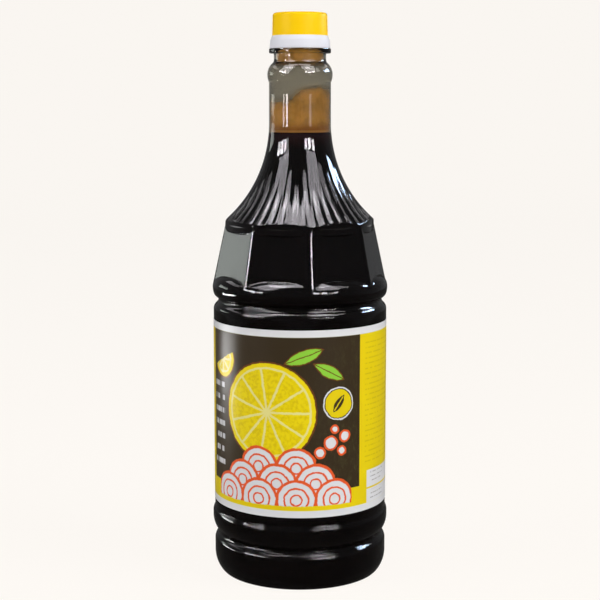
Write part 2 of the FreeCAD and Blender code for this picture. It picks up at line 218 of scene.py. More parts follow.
def eased(points, corner, radius, steps=7):
    """Rounds the outline at the point nearest to a corner."""
    at = min(range(1, len(points) - 1), key=lambda i: math.dist(points[i], corner))
    here = Vector(points[at])

    def along(step):
        walked, index, spot = 0.0, at, here
        while 0 < index < len(points) - 1 or spot == here:
            ahead = Vector(points[index + step])
            gap = (ahead - spot).length
            if walked + gap >= radius:
                return spot.lerp(ahead, (radius - walked) / gap), index
            walked, spot, index = walked + gap, ahead, index + step
        return spot, index - step

    first, before = along(-1)
    last, after = along(1)
    curve = []
    for i in range(steps + 1):
        share = i / steps
        spot = first.lerp(here, share).lerp(here.lerp(last, share), share)
        curve.append((spot.x, spot.y))
    return points[:before] + curve + points[after + 1:]


def moved_in(points, gap):
    """The outline moved inwards, off the surface, by a gap."""
    moved = []
    for i, (radius, height) in enumerate(points):
        ahead = Vector(points[min(i + 1, len(points) - 1)])
        behind = Vector(points[max(i - 1, 0)])
        way = (ahead - behind).normalized()
        moved.append((max(radius - way.y * gap, 0.0), height + way.x * gap))
    return moved


def neck_foot(shape):
    """Height at which the trumpet's hollow curve ends upright in the neck: the curve and the rim's
    rounding touch on the line between their centres."""
    gap = shape.flare + shape.rim_round
    reach = shape.neck + gap - shape.rim
    return shape.flat_top + RIM_RISE + math.sqrt(gap * gap - reach * reach)


def wall_outline(shape):
    """The bottle's outer outline from the middle of its base up to the mouth."""
    share = math.cos(math.pi / shape.flats)
    core_low = (shape.high_band - FLAT_INSET) * share - CORE_DEPTH
    core_high = (shape.rim - RIM_INSET) * share - CORE_DEPTH
    rim_top = shape.flat_top + RIM_RISE
    top = neck_foot(shape)
    gap = shape.flare + shape.rim_round
    touch = (top - rim_top) / gap
    collar_foot = box_foot("collar")
    flange_low = collar_foot - FLANGE_TALL
    low_turn = (shape.low_groove, shape.foot_top + 2.6 * MM)
    high_turn = (shape.high_groove, shape.panel_top + 7.5 * MM)
    band_foot = (shape.panel - 0.4 * MM, shape.panel_top + 9.8 * MM)

    # the base and the foot
    points = [(0.0, DOME)]
    points += [(44.3 * MM * s, DOME * (1 - s * s)) for s in (0.3, 0.6, 0.85, 1.0)]
    points += line(points[-1], (shape.stand, 0.0))
    points += [(48.1 * MM, 0.35 * MM), (48.95 * MM, 1.2 * MM)]
    points += arc(points[-1], (shape.foot, HEEL), "end", 8)
    points += line(points[-1], (shape.foot, shape.foot_top - 3.0 * MM), 2)
    points += arc(points[-1], (shape.foot - 1.5 * MM, shape.foot_top + 0.2 * MM), "start", 10)
    # the lower groove and band, and the label's panel
    points += arc(points[-1], low_turn, "end", 8)
    points += arc(points[-1], (shape.low_band, shape.foot_top + 12.0 * MM), "end", 10)
    points += line(points[-1], (shape.low_band, shape.foot_top + 14.6 * MM), 2)
    points += arc(points[-1], (shape.low_band - 0.95 * MM, shape.foot_top + 17.5 * MM), "start", 8)
    points += arc(points[-1], (shape.panel, shape.foot_top + 18.4 * MM), "end", 5)
    points += line(points[-1], (shape.panel, shape.panel_foot), 1)
    points += line(points[-1], (shape.panel, shape.panel_top), 3)
    points += line(points[-1], (shape.panel, shape.panel_top + 1.2 * MM), 1)
    # the upper groove and band, and the round core behind the flats
    points += arc(points[-1], (shape.panel - 1.6 * MM, shape.panel_top + 4.5 * MM), "start", 10)
    points += arc(points[-1], high_turn, "end", 8)
    points += line(points[-1], band_foot, 3)
    points += arc(points[-1], (shape.high_band, shape.band_crest - 1.2 * MM), "end", 6)
    points += arc(points[-1], (core_low, shape.band_crest + 6.6 * MM), "start", 32)
    points += line(points[-1], (core_low - 0.4 * MM, shape.band_crest + 7.9 * MM), 5)
    points += line(points[-1], (core_high, shape.flat_top - 7.0 * MM), 4)
    points += line(points[-1], (core_high, shape.flat_top - 5.0 * MM), 3)
    # the rim and the trumpet
    points += line(points[-1], (shape.rim - RIM_BEAD, shape.flat_top - 1.0 * MM - RIM_BEAD), 3)
    points += arc(points[-1], (shape.rim, shape.flat_top - 1.0 * MM), "end", 22)
    points += line(points[-1], (shape.rim, rim_top), 8)
    points += [(shape.rim - shape.rim_round * (1 - math.sqrt(1 - s * s)), rim_top + shape.rim_round * s)
               for s in (touch * i / 12 for i in range(1, 13))]
    start = points[-1][1]
    for i in range(1, 27):
        height = start + (top - start) * (i / 26) ** 1.15
        drop = top - height
        points.append((shape.neck + shape.flare - math.sqrt(shape.flare ** 2 - drop * drop), height))
    # the neck, the bead, the throat, the flange and the finish
    neck_top = top + NECK_TALL
    crest = neck_top + BEAD_RISE
    points += line(points[-1], (shape.neck, neck_top), 3)
    points += arc(points[-1], (shape.bead, crest), "end", 6)
    points += arc(points[-1], (shape.throat, crest + THROAT_RISE), "start", 8)
    points += line(points[-1], (shape.throat, flange_low), 2)
    points += line(points[-1], (shape.flange, flange_low), 2)
    points += line(points[-1], (shape.flange, collar_foot), 2)
    points += line(points[-1], (FINISH, collar_foot), 1)
    points += line(points[-1], (FINISH, box_top("bottle")), 2)
    for corner, size in (
        (low_turn, 0.5), (high_turn, 0.6), (band_foot, 0.8), ((shape.throat, crest + THROAT_RISE), 1.2),
        ((shape.throat, flange_low), 0.6), ((shape.flange, flange_low), 0.6),
        ((shape.flange, collar_foot), 0.6),
    ):
        points = eased(points, corner, size * MM)
    return points


def inner_outline(shape):
    """The bottle's inner outline from the mouth down to the middle of its base. Below the neck it
    lies some millimetres inside the sauce, where it isn't seen, and not at the wall's thickness."""
    top = neck_foot(shape)
    neck_top = top + NECK_TALL
    crest = neck_top + BEAD_RISE
    wall = shape.wall
    bore = shape.throat - 1.3 * MM
    points = [(MOUTH, box_top("bottle"))]
    points += line(points[-1], (MOUTH, box_foot("collar") + 0.5 * MM), 2)
    points += arc(points[-1], (bore, box_foot("collar") - 3.0 * MM), "end", 4)
    points += line(points[-1], (bore, crest + 7.0 * MM), 2)
    points += reversed(arc((shape.bead - wall, crest), (bore, crest + 7.0 * MM), "start", 8)[:-1])
    points += reversed(arc((shape.neck - wall, neck_top), (shape.bead - wall, crest), "end", 6))
    points += line(points[-1], (shape.neck - wall, neck_top), 1)
    points += line(points[-1], (shape.neck - wall, top), 3)
    for i in range(1, 9):
        height = top - (top - shape.flat_top) * i / 8
        drop = top - height
        points.append((shape.neck - wall + BORE_FLARE - math.sqrt(BORE_FLARE ** 2 - drop * drop), height))
    points += line(points[-1], (38.5 * MM, shape.flat_top - 5 * MM), 1)
    points += line(points[-1], (45.0 * MM, shape.band_crest + 5 * MM), 1)
    points += line(points[-1], (48.0 * MM, shape.band_crest - 6 * MM), 1)
    points += line(points[-1], (48.0 * MM, 20.0 * MM), 2)
    points += line(points[-1], (45.0 * MM, 4.0 * MM), 2)
    points += line(points[-1], (0.0, 9.0 * MM), 2)
    return points


# ------------------------------------------------------------------ meshes


def mesh_object(name, points, faces):
    """A new object from points and faces, smooth."""
    mesh = bpy.data.meshes.new(name)
    mesh.from_pydata(points, [], faces)
    mesh.validate()
    made = bpy.data.objects.new(name, mesh)
    bpy.context.scene.collection.objects.link(made)
    mesh.shade_smooth()
    return made


def turned(name, outline, columns):
    """A closed body turned from a closed outline, or from one that begins and ends on the axis."""
    points, rings = [], []
    for radius, height in outline:
        if radius < FINE:
            rings.append([len(points)] * columns)
            points.append((0.0, 0.0, height))
            continue
        rings.append(list(range(len(points), len(points) + columns)))
        angles = (2 * math.pi * i / columns for i in range(columns))
        points += [(radius * math.cos(angle), radius * math.sin(angle), height) for angle in angles]
    closed = outline[0][0] >= FINE
    faces = []
    for ring in range(len(rings) if closed else len(rings) - 1):
        low, high = rings[ring], rings[(ring + 1) % len(rings)]
        for i in range(columns):
            j = (i + 1) % columns
            corners = [low[i], low[j], high[j], high[i]]
            faces.append([c for k, c in enumerate(corners) if c not in corners[:k]])
    return mesh_object(name, points, faces)


def sharpened(made, angle):
    """Marks the edges sharper than an angle, so that shading breaks there."""
    made.data.set_sharp_from_angle(angle=math.radians(angle))


class Fields:
    """Writes node formulas: every value is a socket or a number, every call adds one node."""

    def __init__(self, tree):
        self.tree = tree

    def node(self, kind, inputs=(), **settings):
        """A new node with its settings, and its inputs by name or number."""
        made = self.tree.nodes.new(kind)
        for name, value in settings.items():
            setattr(made, name, value)
        for key, value in dict(inputs).items():
            self.put(made.inputs[key], value)
        return made

    def put(self, socket, value):
        if isinstance(value, bpy.types.NodeSocket):
            self.tree.links.new(value, socket)
        elif value is not None:
            socket.default_value = value

    def math(self, operation, a, b=None, c=None):
        return self.node("ShaderNodeMath", {0: a, 1: b, 2: c}, operation=operation).outputs[0]

    def add(self, a, b):
        return self.math("ADD", a, b)

    def take(self, a, b):
        return self.math("SUBTRACT", a, b)

    def times(self, a, b):
        return self.math("MULTIPLY", a, b)

    def over(self, a, b):
        return self.math("DIVIDE", a, b)

    def split(self, vector):
        return tuple(self.node("ShaderNodeSeparateXYZ", {0: vector}).outputs)

    def least(self, a, b):
        return self.math("MINIMUM", a, b)

    def most(self, a, b):
        return self.math("MAXIMUM", a, b)

    def between(self, value, low, high):
        """1 between two limits, 0 outside them."""
        return self.times(self.math("GREATER_THAN", value, low), self.math("LESS_THAN", value, high))


def wall_tree():
    """The rule of the bottle's shape: an outline is turned round the axis, the flats are laid over it
    and the flutes are cut into its trumpet."""
    tree = bpy.data.node_groups.new("FlutedBottle", "GeometryNodeTree")
    face = tree.interface
    face.new_socket("Outline", in_out="INPUT", socket_type="NodeSocketGeometry")
    names = [
        ("Rows", "Int"), ("Outer Rows", "Int"), ("Flutes", "Int"), ("Flute Depth", "Float"),
        ("Flute Foot", "Float"), ("Flute Height", "Float"), ("Flare", "Float"), ("Neck Radius", "Float"),
        ("Neck Foot", "Float"), ("Flats", "Int"), ("Flat Foot", "Float"), ("Flat Top", "Float"),
        ("Flat Foot Radius", "Float"), ("Flat Top Radius", "Float"), ("Inset", "Float"),
    ]
    for name, kind in names:
        face.new_socket(name, in_out="INPUT", socket_type="NodeSocket" + kind)
    face.new_socket("Material", in_out="INPUT", socket_type="NodeSocketMaterial")
    face.new_socket("Bottle", in_out="OUTPUT", socket_type="NodeSocketGeometry")
    f = Fields(tree)
    given = f.node("NodeGroupInput").outputs
    columns = f.times(given["Flutes"], COLUMNS)
    grid = f.node("GeometryNodeMeshGrid", {"Vertices X": given["Rows"], "Vertices Y": f.add(columns, 1.0)})
    index = f.node("GeometryNodeInputIndex").outputs[0]
    row = f.math("FLOOR", f.over(f.add(index, 0.5), f.add(columns, 1.0)))
    column = f.take(index, f.times(row, f.add(columns, 1.0)))
    place = f.node("GeometryNodeInputPosition").outputs[0]
    sample = f.node("GeometryNodeSampleIndex", {"Geometry": given["Outline"], "Value": place, "Index": row},
                    data_type="FLOAT_VECTOR", domain="POINT")
    radius, _, height = f.split(sample.outputs[0])
    # columns crowd at the lands between the flutes
    flute = f.math("FLOOR", f.over(f.add(column, 0.5), COLUMNS))
    across = f.take(f.over(f.take(column, f.times(flute, COLUMNS)), COLUMNS / 2), 1.0)
    across = f.times(across, f.take(1.3, f.times(0.3, f.times(across, across))))
    pitch = f.over(2 * math.pi, given["Flutes"])
    angle = f.times(pitch, f.add(flute, f.times(0.5, across)))
    angle = f.times(angle, -1.0)
    # the trumpet, hollowed by the flutes
    drop = f.most(f.take(given["Neck Foot"], height), 0.0)
    reach = f.take(f.times(given["Flare"], given["Flare"]), f.times(drop, drop))
    reach = f.math("SQRT", f.most(reach, 0.0))
    trumpet = f.take(f.add(given["Neck Radius"], given["Flare"]), reach)
    rise = f.least(f.most(f.over(f.take(height, given["Flute Foot"]), given["Flute Height"]), 0.0), 1.0)
    fading = f.math("POWER", f.take(1.0, rise), FLUTE_FADE)
    off_centre = f.over(across, FLUTE_SHARE)
    off_centre = f.times(off_centre, off_centre)
    hollow = f.most(f.take(1.0, f.times(off_centre, f.add(0.35, f.times(off_centre, 0.65)))), 0.0)
    cut = f.take(trumpet, f.times(f.times(given["Flute Depth"], fading), hollow))
    cut = f.take(cut, given["Inset"])
    in_trumpet = f.between(height, given["Flute Foot"], given["Neck Foot"])
    cut = f.add(cut, f.take(1.0, in_trumpet))  # elsewhere it stands a metre clear
    fluted = f.least(radius, cut)
    # the flats, laid over the round core; the rim above them follows them part of the way
    turn = f.over(2 * math.pi, given["Flats"])
    half = f.over(turn, 2.0)
    off = f.take(f.math("FLOORED_MODULO", f.add(angle, half), turn), half)
    share = f.over(f.take(height, given["Flat Foot"]), f.take(given["Flat Top"], given["Flat Foot"]))
    corner = f.take(given["Flat Top Radius"], given["Flat Foot Radius"])
    corner = f.add(given["Flat Foot Radius"], f.times(share, corner))
    flat = f.over(f.times(corner, f.math("COSINE", half)), f.math("COSINE", off))
    flat = f.take(flat, given["Inset"])
    in_flats = f.between(height, given["Flat Foot"], given["Flat Top"])
    faceted = f.math("SMOOTH_MAX", fluted, f.times(flat, in_flats), FLAT_BLEND)
    side = f.over(f.times(given["Flat Top Radius"], f.math("COSINE", half)), f.math("COSINE", off))
    lean = f.times(RIM_LEAN, f.take(given["Flat Top Radius"], side))
    on_rim = f.between(height, f.take(given["Flat Top"], RIM_REACH), given["Neck Foot"])
    limit = f.take(f.take(f.add(given["Flat Top Radius"], RIM_INSET), lean), given["Inset"])
    faceted = f.least(faceted, f.add(limit, f.take(1.0, on_rim)))
    faceted = f.most(faceted, f.times(flat, in_flats))
    outer = f.math("LESS_THAN", row, f.take(given["Outer Rows"], 0.5))
    final = f.add(f.times(faceted, outer), f.times(radius, f.take(1.0, outer)))
    spot = f.node("ShaderNodeCombineXYZ", {
        "X": f.times(final, f.math("SINE", angle)),
        "Y": f.times(final, f.times(f.math("COSINE", angle), -1.0)),
        "Z": height,
    })
    body = grid.outputs["Mesh"]
    for kind, inputs in (
        ("GeometryNodeSetPosition", {"Position": spot.outputs[0]}),
        ("GeometryNodeMergeByDistance", {"Distance": 2e-6}),
        ("GeometryNodeSetShadeSmooth", {}),
        ("GeometryNodeRealizeInstances", {}),
        ("GeometryNodeSetMaterial", {"Material": given["Material"]}),
        ("NodeGroupOutput", {}),
    ):
        step = f.node(kind, {0: body, **inputs})
        body = step.outputs[0] if step.outputs else None
    return tree


def bottle_form(name, shape, outline, outer_rows, inset, material):
    """A plain mesh of the bottle's form: the outline given, with the flats and the flutes."""
    carrier = mesh_object(name, [(radius, 0.0, height) for radius, height in outline], [])
    tree = bpy.data.node_groups.get("FlutedBottle") or wall_tree()
    modifier = carrier.modifiers.new("Form", "NODES")
    modifier.node_group = tree
    values = {
        "Rows": len(outline), "Outer Rows": outer_rows, "Flutes": shape.flutes,
        "Flute Depth": shape.flute_depth, "Flute Foot": shape.flat_top - 1.0 * MM,
        "Flute Height": shape.flute_height, "Flare": shape.flare,
        "Neck Radius": shape.neck, "Neck Foot": neck_foot(shape), "Flats": shape.flats,
        "Flat Foot": shape.band_crest + 1.0 * MM, "Flat Top": shape.flat_top,
        "Flat Foot Radius": shape.high_band - FLAT_INSET, "Flat Top Radius": shape.rim - RIM_INSET,
        "Inset": inset, "Material": material,
    }
    for item in tree.interface.items_tree:
        if item.in_out == "INPUT" and item.name in values:
            modifier[item.identifier] = values[item.name]
    bpy.context.view_layer.update()
    graph = bpy.context.evaluated_depsgraph_get()
    mesh = bpy.data.meshes.new_from_object(carrier.evaluated_get(graph))
    bpy.data.objects.remove(carrier)
    made = bpy.data.objects.new(name, mesh)
    bpy.context.scene.collection.objects.link(made)
    return made


# ------------------------------------------------------------------ materials


class Paint(Fields):
    """Writes a material's nodes round one Principled shader."""

    def __init__(self, name):
        self.material = bpy.data.materials.new(name)
        self.material.use_nodes = True
        super().__init__(self.material.node_tree)
        self.tree.nodes.clear()
        self.shader = self.node("ShaderNodeBsdfPrincipled")
        self.out = self.node("ShaderNodeOutputMaterial")
        self.tree.links.new(self.shader.outputs[0], self.out.inputs["Surface"])
        self.place = self.node("ShaderNodeTexCoord").outputs["Object"]

    def set(self, **values):
        for name, value in values.items():
            self.put(self.shader.inputs[name.replace("_", " ")], value)

    def noise(self, scale, detail=2.0, rough=0.5, vector=None, stretch=None):
        vector = vector or self.place
        if stretch:
            vector = self.node("ShaderNodeMapping", {"Vector": vector, "Scale": stretch}).outputs[0]
        inputs = {"Vector": vector, "Scale": scale, "Detail": detail, "Roughness": rough}
        return self.node("ShaderNodeTexNoise", inputs).outputs["Fac"]

    def ramp(self, value, low, high, kind="SMOOTHSTEP"):
        inputs = {"Value": value, "From Min": low, "From Max": high}
        return self.node("ShaderNodeMapRange", inputs, interpolation_type=kind).outputs[0]

    def ink(self, value):
        """A colour as a mix input: a socket, or a plain colour."""
        return value if isinstance(value, bpy.types.NodeSocket) else (*value, 1.0)

    def mix(self, share, under, over):
        inputs = {"Factor": share, 6: self.ink(under), 7: self.ink(over)}
        return self.node("ShaderNodeMix", inputs, data_type="RGBA").outputs[2]

    def bump(self, value, depth, strength):
        made = self.node("ShaderNodeBump", {"Strength": strength, "Distance": depth, "Height": value})
        self.put(self.shader.inputs["Normal"], made.outputs[0])


def clear_plastic(shape):
    """Clear blown plastic, faintly grey, with the slow ripple that blowing leaves."""
    p = Paint("ClearPlastic")
    cloud = p.noise(60.0, 2.0)
    dark = tuple(c * 0.93 for c in shape.tint)
    p.set(Base_Color=p.mix(cloud, shape.tint, dark), Roughness=0.045, IOR=1.4, Transmission_Weight=1.0,
          Specular_Tint=(0.60, 0.60, 0.61, 1.0))
    p.bump(p.noise(70.0, 1.0, stretch=(1.0, 1.0, 0.2)), 0.0002, 0.03)
    return p.material


def dark_sauce(sauce, level):
    """Dark sauce, near black in bulk, with its wine red where light shines through it painted as a glow
    just under its surface.
    """
    p = Paint("DarkSauce")
    z = p.split(p.place)[2]
    # painted glow: the sauce turns wine red towards its surface, as if light shone into it there
    painted_glow = p.ramp(z, level - 10 * MM, level + 1 * MM)
    cloud = p.noise(40.0, 3.0)
    painted_glow = p.times(painted_glow, p.add(0.35, cloud))
    p.set(Base_Color=p.mix(painted_glow, sauce.dark, sauce.edge), Roughness=0.4, Specular_IOR_Level=0.0)
    return p.material


def sauce_film(sauce, level):
    """The film on the inside of the neck: brown and thick near the sauce, a faint haze above."""
    p = Paint("SauceFilm")
    x, _, z = p.split(p.place)
    rise = p.times(p.take(z, level), 1000.0)  # millimetres above the sauce
    drift = p.times(p.take(p.noise(38.0, 1.0), 0.5), 14.0)
    patch = p.times(p.take(p.noise(160.0, 4.0, 0.65), 0.5), 5.0)
    line_at = p.add(p.add(p.take(rise, p.times(x, 230.0)), drift), patch)
    thick = p.take(1.0, p.ramp(line_at, 18.5, 25.5))
    throat = p.ramp(rise, 39.5, 43.0)
    thick = p.most(thick, p.times(throat, 1.15))
    streak = p.noise(170.0, 4.0, 0.6, stretch=(1.0, 1.0, 0.8))
    bubble = p.ramp(p.noise(1300.0, 1.0, 0.4), 0.62, 0.70)
    low = p.take(1.0, p.ramp(p.add(rise, p.times(drift, 0.5)), 2.0, 7.5))
    red, green, blue = sauce.film
    deep = tuple(c * 0.7 for c in sauce.film)
    amber = p.mix(p.ramp(streak, 0.40, 0.66), sauce.film, deep)
    amber = p.mix(p.times(bubble, 0.35), amber, tuple(c * 0.3 for c in sauce.film))
    amber = p.mix(p.times(low, 0.6), amber, (red * 0.62, green * 0.36, blue * 0.3))
    # painted highlight: a lighter ring just above the sauce, where light shines through the meniscus
    ring = p.times(p.ramp(rise, 0.7, 1.1), p.take(1.0, p.ramp(rise, 1.6, 2.4)))
    amber = p.mix(p.times(ring, 0.6), amber, tuple(min(c * 1.25 + 0.06, 1.0) for c in sauce.film))
    p.set(Base_Color=p.mix(thick, sauce.haze, amber), Roughness=0.35,
          Alpha=p.add(0.27, p.times(thick, 0.5)))
    return p.material


def moulded(name, tone, rough):
    """Moulded coloured plastic with a faint grain."""
    p = Paint(name)
    cloud = p.noise(90.0, 3.0)
    dark = tuple(c * 0.94 for c in tone)
    p.set(Base_Color=p.mix(cloud, tone, dark), Roughness=rough, Specular_IOR_Level=0.02)
    p.bump(p.noise(1400.0, 2.0), 0.02 * MM, 0.3)
    return p.material


def printed_label(inks):
    """The label's print, drawn in millimetres round and up the sleeve."""
    p = Paint("LabelPrint")
    x, y, z = p.split(p.place)
    foot = box_foot("label")
    tall = (box_top("label") - foot) * 1000
    clean_u = p.times(p.math("ARCTAN2", x, p.times(y, -1.0)), box_radius("label") * 1000)
    clean_v = p.times(p.take(z, foot), 1000.0)
    # brushed shapes wander a little
    u = p.add(clean_u, p.times(p.take(p.noise(260.0, 3.0, 0.6), 0.5), 1.6))
    v = p.add(clean_v, p.times(p.take(p.noise(310.0, 3.0, 0.6), 0.5), 1.4))

    def size(a, b):
        return p.math("SQRT", p.add(p.times(a, a), p.times(b, b)))

    def inside(distance):
        """1 where a signed distance is below zero."""
        return p.ramp(distance, SOFT_EDGE, -SOFT_EDGE, "LINEAR")

    def disc(cx, cy, radius):
        return p.take(size(p.take(u, cx), p.take(v, cy)), radius)

    def box(cx, cy, wide, high):
        return p.most(p.take(p.math("ABSOLUTE", p.take(clean_u, cx)), wide / 2),
                      p.take(p.math("ABSOLUTE", p.take(clean_v, cy)), high / 2))

    def turned_axes(cx, cy, angle):
        c, d = math.cos(math.radians(angle)), math.sin(math.radians(angle))
        a, b = p.take(u, cx), p.take(v, cy)
        return p.add(p.times(a, c), p.times(b, d)), p.take(p.times(b, c), p.times(a, d))

    def almond(along, across, half, wide):
        """Signed distance to a pointed oval of a half length and a half width."""
        bow = (half * half + wide * wide) / (2 * wide)
        return p.take(size(along, p.add(p.math("ABSOLUTE", across), bow - wide)), bow)

    def stamp(distance, ink, share=1.0, limit=None):
        nonlocal colours
        mask = inside(distance)
        if limit is not None:
            mask = p.times(mask, limit)
        colours = p.mix(p.times(mask, share) if share != 1.0 else mask, colours, ink)

    def rows(left, right, low, high, pitch, ink, share, seed, weight=0.12):
        """Blocked-out lines of small print: rows of short bars, of a weight relative to the pitch."""
        step = p.over(clean_v, pitch)
        number = p.math("FLOOR", step)
        middle = p.math("ABSOLUTE", p.take(p.take(step, number), 0.5))
        bar = p.take(p.times(middle, pitch), pitch * weight)
        spot = {0: p.times(clean_u, 0.55), 1: p.add(p.times(number, 7.31), seed)}
        word = p.noise(1.0, 1.0, 0.5, vector=p.node("ShaderNodeCombineXYZ", spot).outputs[0])
        area = inside(box((left + right) / 2, (low + high) / 2, right - left, high - low))
        stamp(bar, ink, share, p.times(area, p.ramp(word, 0.43, 0.47)))

    colours = inks.paper
    cloud = p.noise(35.0, 2.0)
    yellow = p.mix(cloud, inks.yellow, inks.shade)
    stamp(p.most(p.take(BORDER, clean_v), p.take(clean_v, tall - BORDER)), yellow)
    # the dark ground in front, mottled like stone
    grain = p.noise(380.0, 6.0, 0.75, stretch=(1.0, 1.0, 0.45))
    warm = tuple(c * 0.8 for c in inks.ground)
    olive = (inks.ground[0] * 1.5, inks.ground[1] * 1.9, inks.ground[2] * 1.6)
    right_side = p.ramp(p.take(clean_u, p.times(clean_v, 0.4)), -30.0, 40.0)
    dark = p.mix(p.times(p.ramp(grain, 0.45, 0.75), right_side), p.mix(cloud, inks.ground, warm), olive)
    stamp(box(-1.5, (GROUND_FOOT + tall - BORDER) / 2, 107.0, tall - BORDER - GROUND_FOOT), dark)

    def wheel(cx, cy, radius, parts, cut=None):
        """A cut citrus wheel, or the half of it on one side of a cut."""
        a, b = p.take(u, cx), p.take(v, cy)
        far = size(a, b)
        limit = None
        if cut is not None:
            limit = inside(turned_axes(cx, cy, cut)[1])
        stamp(p.take(far, radius), inks.brown, 1.0, limit)
        stamp(p.take(far, radius - 1.1), inks.yellow, 1.0, limit)
        stamp(p.take(far, radius - 3.4), inks.pith, 1.0, limit)
        turn = 2 * math.pi / parts
        way = p.math("FLOORED_MODULO", p.math("ARCTAN2", b, a), turn)
        side = p.times(p.take(turn / 2, p.math("ABSOLUTE", p.take(way, turn / 2))), far)
        piece = p.most(p.most(p.take(0.65, side), p.take(far, radius - 4.6)), p.take(2.2, far))
        flesh = p.mix(p.ramp(p.noise(520.0, 2.0), 0.4, 0.7), inks.yellow, inks.shade)
        stamp(piece, flesh, 1.0, limit)

    wheel(-6.0, 62.0, 30.0, 11)
    wheel(-41.0, 90.0, 12.0, 8, 25.0)
    # two leaves
    for cx, cy, angle, half, wide in ((16.0, 95.0, 20.0, 11.5, 3.6), (31.0, 86.0, -28.0, 10.0, 3.3)):
        along, across = turned_axes(cx, cy, angle)
        leaf = almond(along, across, half, wide)
        stamp(p.take(leaf, 0.7), inks.brown)
        stamp(leaf, inks.green)
        stamp(p.most(p.take(p.math("ABSOLUTE", across), 0.28), leaf), inks.brown)
    # badge with a leaf
    stamp(disc(37.0, 67.0, 9.8), inks.paper)
    stamp(disc(37.0, 67.0, 9.0), inks.ground)
    stamp(disc(37.0, 67.0, 8.4), yellow)
    along, across = turned_axes(37.0, 67.0, 55.0)
    leaf = almond(along, across, 6.0, 2.3)
    stamp(leaf, inks.ground)
    stamp(p.most(p.take(p.math("ABSOLUTE", across), 0.3), p.add(leaf, 0.6)), inks.yellow)
    # a pile of round waves, each row in front of the one above it
    for base, shift, half in ((29.5, 0.0, WAVE), (20.0, WAVE / 2, WAVE * 1.5), (10.5, 0.0, WAVE * 2)):
        way = p.math("FLOORED_MODULO", p.add(u, shift), WAVE)
        far = size(p.take(way, WAVE / 2), p.take(v, base))
        limit = inside(p.most(p.take(p.math("ABSOLUTE", u), half), p.take(max(base - 9.0, 7.0), v)))
        for edge, white in ((12.3, 10.6), (7.6, 6.5), (3.7, 2.7)):
            stamp(p.take(far, edge), inks.orange, 1.0, limit)
            stamp(p.take(far, white), inks.paper, 1.0, limit)
    # spray over the waves
    for cx, cy, radius in ((25.5, 38.5, 2.4), (32.0, 44.0, 3.3), (39.0, 39.0, 1.9), (41.0, 47.5, 2.6),
                           (34.5, 52.0, 1.6)):
        stamp(disc(cx, cy, radius + 1.2), inks.orange)
        stamp(disc(cx, cy, radius), inks.paper)

    # blocked-out small print
    rows(-53.0, -39.5, 25.0, 76.0, 7.8, inks.paper, 0.8, 3.0, 0.2)
    rows(56.5, 90.0, 27.0, tall - 9.0, 3.1, inks.brown, 0.20, 11.0)
    # white boxes with a rule between them
    stamp(box(81.2, 14.0, 45.6, 19.8), inks.paper)
    stamp(box(81.2, 13.0, 45.6, 1.1), yellow)
    rows(62.0, 78.0, 6.0, 11.5, 2.6, inks.ground, 0.5, 5.0)
    rows(62.0, 78.0, 15.5, 22.5, 2.6, inks.ground, 0.5, 8.0)
    # the back: a bare white panel, small print and the seam
    stamp(box(-112.0, 58.0, 62.0, 66.0), inks.paper)
    rows(-140.0, -84.0, 28.0, 88.0, 3.6, inks.ground, 0.5, 21.0)
    rows(112.0, 158.0, 12.0, tall - 9.0, 2.6, inks.brown, 0.4, 33.0)
    stamp(p.take(162.6, clean_u), inks.paper)

    p.set(Base_Color=colours, Roughness=0.3, Specular_IOR_Level=0.12)
    p.bump(p.noise(28.0, 2.0, stretch=(0.6, 0.6, 2.5)), 0.0008, 0.12)
    return p.material


# ------------------------------------------------------------------ pieces, one operator each


class SAUCE_OT_bottle(bpy.types.Operator):
    """Builds the clear bottle"""
    bl_idname = "sauce.bottle"
    bl_label = "Clear bottle"

    def execute(self, context):
        shape = context.scene.sauce_shape
        outer = wall_outline(shape)
        whole = outer + inner_outline(shape)
        made = bottle_form("clear_bottle", shape, whole, len(outer), 0.0, clear_plastic(shape))
        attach(made, "root")
        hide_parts("bottle")
        return {"FINISHED"}


class SAUCE_OT_sauce(bpy.types.Operator):
    """Builds the sauce up to its level"""
    bl_idname = "sauce.sauce"
    bl_label = "Sauce"

    def execute(self, context):
        shape, sauce = context.scene.sauce_shape, context.scene.sauce_contents
        level = box_top("sauce")
        inset = shape.wall - sauce.reach
        skin = [p for p in moved_in(wall_outline(shape), inset) if p[1] < level - 0.2 * MM and p[0] >= 0]
        rim = shape.neck - shape.wall + sauce.reach
        # the surface creeps up the wall
        surface = [(rim, level + 0.6 * MM), (rim - 0.7 * MM, level + 0.1 * MM),
                   (rim - 2.0 * MM, level - 0.15 * MM), (rim * 0.5, level - 0.2 * MM),
                   (0.0, level - 0.2 * MM)]
        made = bottle_form("dark_sauce", shape, skin + surface, len(skin), inset, dark_sauce(sauce, level))
        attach(made, "root")
        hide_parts("sauce")
        return {"FINISHED"}


class SAUCE_OT_film(bpy.types.Operator):
    """Builds the film that the sauce leaves inside the neck"""
    bl_idname = "sauce.film"
    bl_label = "Film in the neck"

    def execute(self, context):
        shape, sauce = context.scene.sauce_shape, context.scene.sauce_contents
        level = box_top("sauce")
        foot, top = level + 0.8 * MM, box_foot("collar") + 4.0 * MM
        wall = [(shape.neck - shape.wall, foot)]
        wall += [p for p in reversed(inner_outline(shape)) if foot < p[1] < top]
        outline = moved_in(wall, 0.04 * MM) + list(reversed(moved_in(wall, 0.10 * MM)))
        made = turned("neck_film", outline, 96)
        made.data.materials.append(sauce_film(sauce, level))
        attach(made, "root")
        return {"FINISHED"}


class SAUCE_OT_label(bpy.types.Operator):
    """Builds the printed wrap label"""
    bl_idname = "sauce.label"
    bl_label = "Label"

    def execute(self, context):
        low, high = box_foot("label"), box_top("label")
        radius = box_radius("label")
        outline = [(radius - 0.14 * MM, low), (radius, low), (radius, high), (radius - 0.14 * MM, high)]
        made = turned("wrap_label", outline, 256)
        sharpened(made, 40)
        made.data.materials.append(printed_label(context.scene.sauce_label))
        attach(made, "root")
        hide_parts("label")
        return {"FINISHED"}


